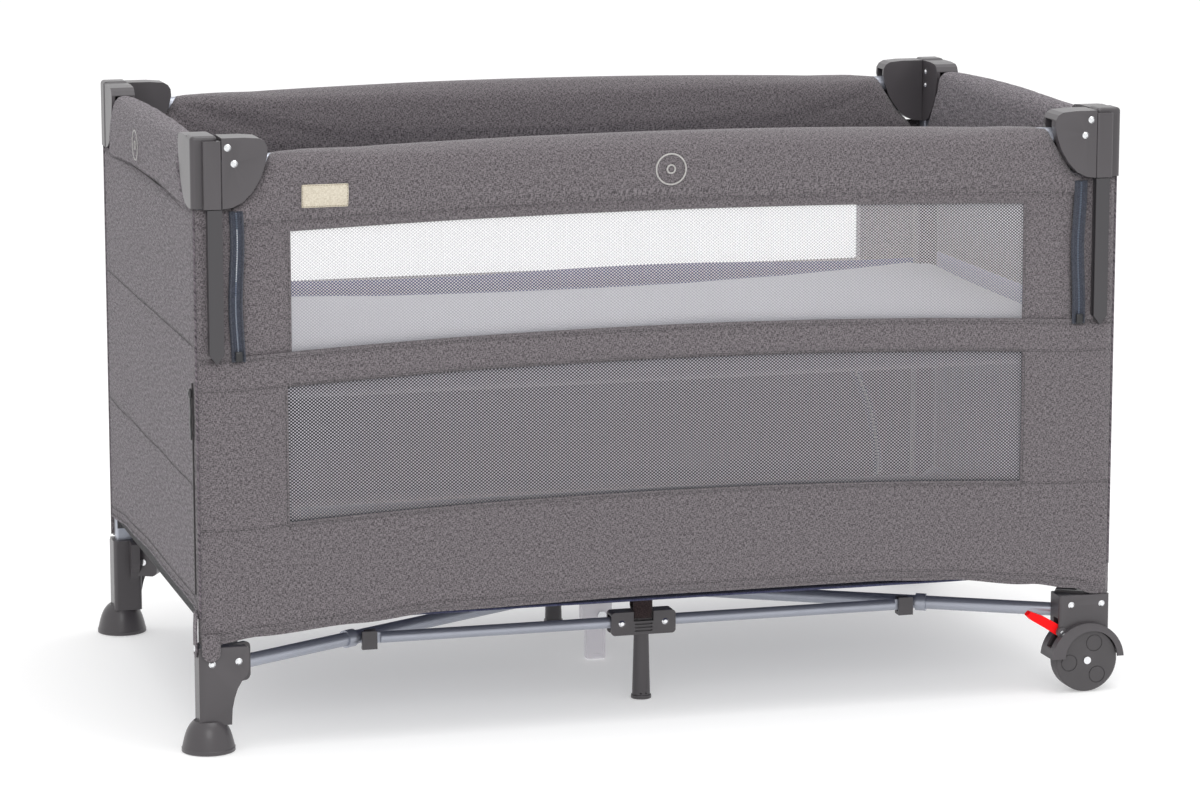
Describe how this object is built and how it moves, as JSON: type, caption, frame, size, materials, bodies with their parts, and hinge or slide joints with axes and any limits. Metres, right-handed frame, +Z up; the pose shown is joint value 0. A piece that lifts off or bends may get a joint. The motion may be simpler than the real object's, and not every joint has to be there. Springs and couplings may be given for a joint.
{
  "type": "playpen",
  "caption": "Folding travel cot with padded top rails, mesh windows, a raised mattress, a drop side on tracks, two feet and two braked wheels.",
  "frame": {"origin": "on the floor under the middle of the pen", "axes": "+X along the length towards the wheels, -Y towards the drop side, +Z up"},
  "size_m": [1.2658, 0.744, 0.78],
  "materials": {
    "fabric_grey": "melange weave",
    "fabric_navy": "plain weave",
    "mattress_grey": "quilted",
    "tube_grey": "satin",
    "plastic_grey": "fine grain",
    "plastic_red": "smooth",
    "plastic_clear": "translucent",
    "steel": "satin",
    "strap_brown": "webbing"
  },
  "bodies": {
    "corner_fl": {"post_fl": "tube_grey", "cap_fl": "plastic_grey", "track_l": "plastic_grey", "foot_fl": "plastic_grey", "rivets_fl": "steel", "wall_front_low": "fabric_grey", "wall_front_up": "fabric_grey", "wall_left": "fabric_grey", "floor_panel": "fabric_navy"},
    "corner_fr": {"post_fr": "tube_grey", "cap_fr": "plastic_grey", "track_r": "plastic_grey", "wheel_bracket_fr": "plastic_grey", "rivets_fr": "steel", "wall_right": "fabric_grey"},
    "corner_bl": {"post_bl": "tube_grey", "cap_bl": "plastic_grey", "foot_bl": "plastic_grey", "rivets_bl": "steel", "wall_back": "fabric_grey"},
    "corner_br": {"post_br": "tube_grey", "cap_br": "plastic_grey", "wheel_bracket_br": "plastic_grey", "rivets_br": "steel"},
    "hub": {"hub": "plastic_grey", "hub_foot": "plastic_clear"},
    "slider_l": {"slider_l": "plastic_grey"},
    "slider_r": {"slider_r": "plastic_grey"},
    "rail_front_l": {"rail_front_l": "tube_grey", "sleeve_front": "fabric_grey"},
    "rail_front_r": {"rail_front_r": "tube_grey"},
    "rail_back_l": {"rail_back_l": "tube_grey", "sleeve_back": "fabric_grey"},
    "rail_back_r": {"rail_back_r": "tube_grey"},
    "rail_left_f": {"rail_left_f": "tube_grey", "sleeve_left": "fabric_grey"},
    "rail_left_b": {"rail_left_b": "tube_grey"},
    "rail_right_f": {"rail_right_f": "tube_grey", "sleeve_right": "fabric_grey"},
    "rail_right_b": {"rail_right_b": "tube_grey"},
    "wheel_fr": {"wheel_fr": "plastic_grey"},
    "wheel_br": {"wheel_br": "plastic_grey"},
    "brake_fr": {"brake_fr": "plastic_red"},
    "brake_br": {"brake_br": "plastic_red"},
    "stab_centre_f": {"stab_centre_f": "plastic_grey", "strap": "strap_brown"},
    "mattress": {"mattress": "mattress_grey"},
    "stab_centre_b": {"stab_centre_b": "plastic_grey"},
    "base_fl": {"diagonal_fl": "tube_grey"},
    "stab_bracket_fl": {"stab_bracket_fl": "plastic_grey"},
    "stab_tube_fl": {"stab_tube_fl": "tube_grey"},
    "base_fr": {"diagonal_fr": "tube_grey"},
    "stab_bracket_fr": {"stab_bracket_fr": "plastic_grey"},
    "stab_tube_fr": {"stab_tube_fr": "tube_grey"},
    "base_bl": {"diagonal_bl": "tube_grey"},
    "stab_bracket_bl": {"stab_bracket_bl": "plastic_grey"},
    "stab_tube_bl": {"stab_tube_bl": "tube_grey"},
    "base_br": {"diagonal_br": "tube_grey"},
    "stab_bracket_br": {"stab_bracket_br": "plastic_grey"},
    "stab_tube_br": {"stab_tube_br": "tube_grey"}
  },
  "joints": [
    {"name": "fold", "type": "hinge", "parent": "corner_fl", "child": "base_fl", "pos_m": [-0.56695, -0.31814, 0.104], "axis": [0.4894, -0.8721, 0], "range_deg": [0, 75], "deforming": ["wall_front_low", "wall_front_up", "wall_left", "wall_right", "wall_back", "floor_panel", "mattress", "strap", "sleeve_front", "sleeve_back", "sleeve_left", "sleeve_right"]},
    {"name": "hub_lift", "type": "hinge", "parent": "base_fl", "child": "hub", "pos_m": [-0.02965, -0.01664, 0.104], "axis": [0.4894, -0.8721, 0], "range_deg": [-75, 0]},
    {"name": "base_fr_turn", "type": "hinge", "parent": "hub", "child": "base_fr", "pos_m": [0.02965, -0.01664, 0.104], "axis": [0.4894, 0.8721, 0], "range_deg": [0, 75]},
    {"name": "corner_fr_turn", "type": "hinge", "parent": "base_fr", "child": "corner_fr", "pos_m": [0.56695, -0.31814, 0.104], "axis": [0.4894, 0.8721, 0], "range_deg": [-75, 0]},
    {"name": "base_bl_turn", "type": "hinge", "parent": "hub", "child": "base_bl", "pos_m": [-0.02965, 0.01664, 0.104], "axis": [-0.4894, -0.8721, 0], "range_deg": [0, 75]},
    {"name": "corner_bl_turn", "type": "hinge", "parent": "base_bl", "child": "corner_bl", "pos_m": [-0.56695, 0.31814, 0.104], "axis": [-0.4894, -0.8721, 0], "range_deg": [-75, 0]},
    {"name": "base_br_turn", "type": "hinge", "parent": "hub", "child": "base_br", "pos_m": [0.02965, 0.01664, 0.104], "axis": [-0.4894, 0.8721, 0], "range_deg": [0, 75]},
    {"name": "corner_br_turn", "type": "hinge", "parent": "base_br", "child": "corner_br", "pos_m": [0.56695, 0.31814, 0.104], "axis": [-0.4894, 0.8721, 0], "range_deg": [-75, 0]},
    {"name": "rail_front_l_drop", "type": "hinge", "parent": "slider_l", "child": "rail_front_l", "pos_m": [-0.5373, -0.335, 0.745], "axis": [0, 1, 0], "range_deg": [0, 75]},
    {"name": "rail_front_r_drop", "type": "hinge", "parent": "rail_front_l", "child": "rail_front_r", "pos_m": [0, -0.335, 0.745], "axis": [0, 1, 0], "range_deg": [-150, 0]},
    {"name": "rail_back_l_drop", "type": "hinge", "parent": "corner_bl", "child": "rail_back_l", "pos_m": [-0.5373, 0.335, 0.745], "axis": [0, 1, 0], "range_deg": [0, 75]},
    {"name": "rail_back_r_drop", "type": "hinge", "parent": "rail_back_l", "child": "rail_back_r", "pos_m": [0, 0.335, 0.745], "axis": [0, 1, 0], "range_deg": [-150, 0]},
    {"name": "rail_left_f_drop", "type": "hinge", "parent": "corner_fl", "child": "rail_left_f", "pos_m": [-0.597, -0.3015, 0.745], "axis": [-1, 0, 0], "range_deg": [0, 75]},
    {"name": "rail_left_b_drop", "type": "hinge", "parent": "rail_left_f", "child": "rail_left_b", "pos_m": [-0.597, 0, 0.745], "axis": [-1, 0, 0], "range_deg": [-150, 0]},
    {"name": "rail_right_f_drop", "type": "hinge", "parent": "corner_fr", "child": "rail_right_f", "pos_m": [0.597, -0.3015, 0.745], "axis": [-1, 0, 0], "range_deg": [0, 75]},
    {"name": "rail_right_b_drop", "type": "hinge", "parent": "rail_right_f", "child": "rail_right_b", "pos_m": [0.597, 0, 0.745], "axis": [-1, 0, 0], "range_deg": [-150, 0]},
    {"name": "stab_bracket_fl_turn", "type": "hinge", "parent": "base_fl", "child": "stab_bracket_fl", "pos_m": [-0.37014, -0.2077, 0.104], "axis": [0.4894, -0.8721, 0], "range_deg": [-75, 0]},
    {"name": "stab_bracket_fr_turn", "type": "hinge", "parent": "base_fr", "child": "stab_bracket_fr", "pos_m": [0.37014, -0.2077, 0.104], "axis": [0.4894, 0.8721, 0], "range_deg": [-75, 0]},
    {"name": "stab_bracket_bl_turn", "type": "hinge", "parent": "base_bl", "child": "stab_bracket_bl", "pos_m": [-0.37014, 0.2077, 0.104], "axis": [-0.4894, -0.8721, 0], "range_deg": [-75, 0]},
    {"name": "stab_bracket_br_turn", "type": "hinge", "parent": "base_br", "child": "stab_bracket_br", "pos_m": [0.37014, 0.2077, 0.104], "axis": [-0.4894, 0.8721, 0], "range_deg": [-75, 0]},
    {"name": "stab_tube_fl_lift", "type": "hinge", "parent": "stab_bracket_fl", "child": "stab_tube_fl", "pos_m": [-0.37014, -0.2257, 0.104], "axis": [0, -1, 0], "range_deg": [0, 75]},
    {"name": "stab_centre_f_lift", "type": "hinge", "parent": "stab_tube_fl", "child": "stab_centre_f", "pos_m": [-0.02965, -0.2257, 0.104], "axis": [0, -1, 0], "range_deg": [-75, 0]},
    {"name": "stab_tube_fr_lift", "type": "hinge", "parent": "stab_centre_f", "child": "stab_tube_fr", "pos_m": [0.02965, -0.2257, 0.104], "axis": [0, 1, 0], "range_deg": [0, 75]},
    {"name": "stab_tube_bl_lift", "type": "hinge", "parent": "stab_bracket_bl", "child": "stab_tube_bl", "pos_m": [-0.37014, 0.2257, 0.104], "axis": [0, -1, 0], "range_deg": [0, 75]},
    {"name": "stab_centre_b_lift", "type": "hinge", "parent": "stab_tube_bl", "child": "stab_centre_b", "pos_m": [-0.02965, 0.2257, 0.104], "axis": [0, -1, 0], "range_deg": [-75, 0]},
    {"name": "stab_tube_br_lift", "type": "hinge", "parent": "stab_centre_b", "child": "stab_tube_br", "pos_m": [0.02965, 0.2257, 0.104], "axis": [0, 1, 0], "range_deg": [0, 75]},
    {"name": "drop", "type": "slide", "parent": "corner_fl", "child": "slider_l", "axis": [0, 0, -1], "range_m": [0, 0.185], "deforming": ["wall_front_up", "wall_front_low", "sleeve_front"]},
    {"name": "drop_right", "type": "slide", "parent": "corner_fr", "child": "slider_r", "axis": [0, 0, -1], "range_m": [0, 0.185]},
    {"name": "mattress_lift", "type": "slide", "parent": "corner_fl", "child": "mattress", "axis": [0, 0, 1], "range_m": [0, 0.42]},
    {"name": "wheel_fr_spin", "type": "hinge", "parent": "corner_fr", "child": "wheel_fr", "pos_m": [0.58, -0.343, 0.043], "axis": [0, 1, 0], "continuous": true},
    {"name": "brake_fr_press", "type": "hinge", "parent": "corner_fr", "child": "brake_fr", "pos_m": [0.545, -0.34, 0.082], "axis": [0, -1, 0], "range_deg": [0, 22]},
    {"name": "wheel_br_spin", "type": "hinge", "parent": "corner_br", "child": "wheel_br", "pos_m": [0.58, 0.343, 0.043], "axis": [0, 1, 0], "continuous": true},
    {"name": "brake_br_press", "type": "hinge", "parent": "corner_br", "child": "brake_br", "pos_m": [0.545, 0.34, 0.082], "axis": [0, -1, 0], "range_deg": [0, 22]}
  ],
  "couplings": [
    {"joint": "hub_lift", "follows": "fold", "ratio": -1},
    {"joint": "base_fr_turn", "follows": "fold", "ratio": 1},
    {"joint": "corner_fr_turn", "follows": "fold", "ratio": -1},
    {"joint": "base_bl_turn", "follows": "fold", "ratio": 1},
    {"joint": "corner_bl_turn", "follows": "fold", "ratio": -1},
    {"joint": "base_br_turn", "follows": "fold", "ratio": 1},
    {"joint": "corner_br_turn", "follows": "fold", "ratio": -1},
    {"joint": "rail_front_l_drop", "follows": "fold", "ratio": 1},
    {"joint": "rail_front_r_drop", "follows": "fold", "ratio": -2},
    {"joint": "rail_back_l_drop", "follows": "fold", "ratio": 1},
    {"joint": "rail_back_r_drop", "follows": "fold", "ratio": -2},
    {"joint": "rail_left_f_drop", "follows": "fold", "ratio": 1},
    {"joint": "rail_left_b_drop", "follows": "fold", "ratio": -2},
    {"joint": "rail_right_f_drop", "follows": "fold", "ratio": 1},
    {"joint": "rail_right_b_drop", "follows": "fold", "ratio": -2},
    {"joint": "stab_bracket_fl_turn", "follows": "fold", "ratio": -1},
    {"joint": "stab_bracket_fr_turn", "follows": "fold", "ratio": -1},
    {"joint": "stab_bracket_bl_turn", "follows": "fold", "ratio": -1},
    {"joint": "stab_bracket_br_turn", "follows": "fold", "ratio": -1},
    {"joint": "stab_tube_fl_lift", "follows": "fold", "ratio": 1},
    {"joint": "stab_centre_f_lift", "follows": "fold", "ratio": -1},
    {"joint": "stab_tube_fr_lift", "follows": "fold", "ratio": 1},
    {"joint": "stab_tube_bl_lift", "follows": "fold", "ratio": 1},
    {"joint": "stab_centre_b_lift", "follows": "fold", "ratio": -1},
    {"joint": "stab_tube_br_lift", "follows": "fold", "ratio": 1},
    {"joint": "drop_right", "follows": "drop", "ratio": 1},
    {"joint": "mattress_lift", "follows": "fold", "m_per_rad": 0.32086}
  ]
}
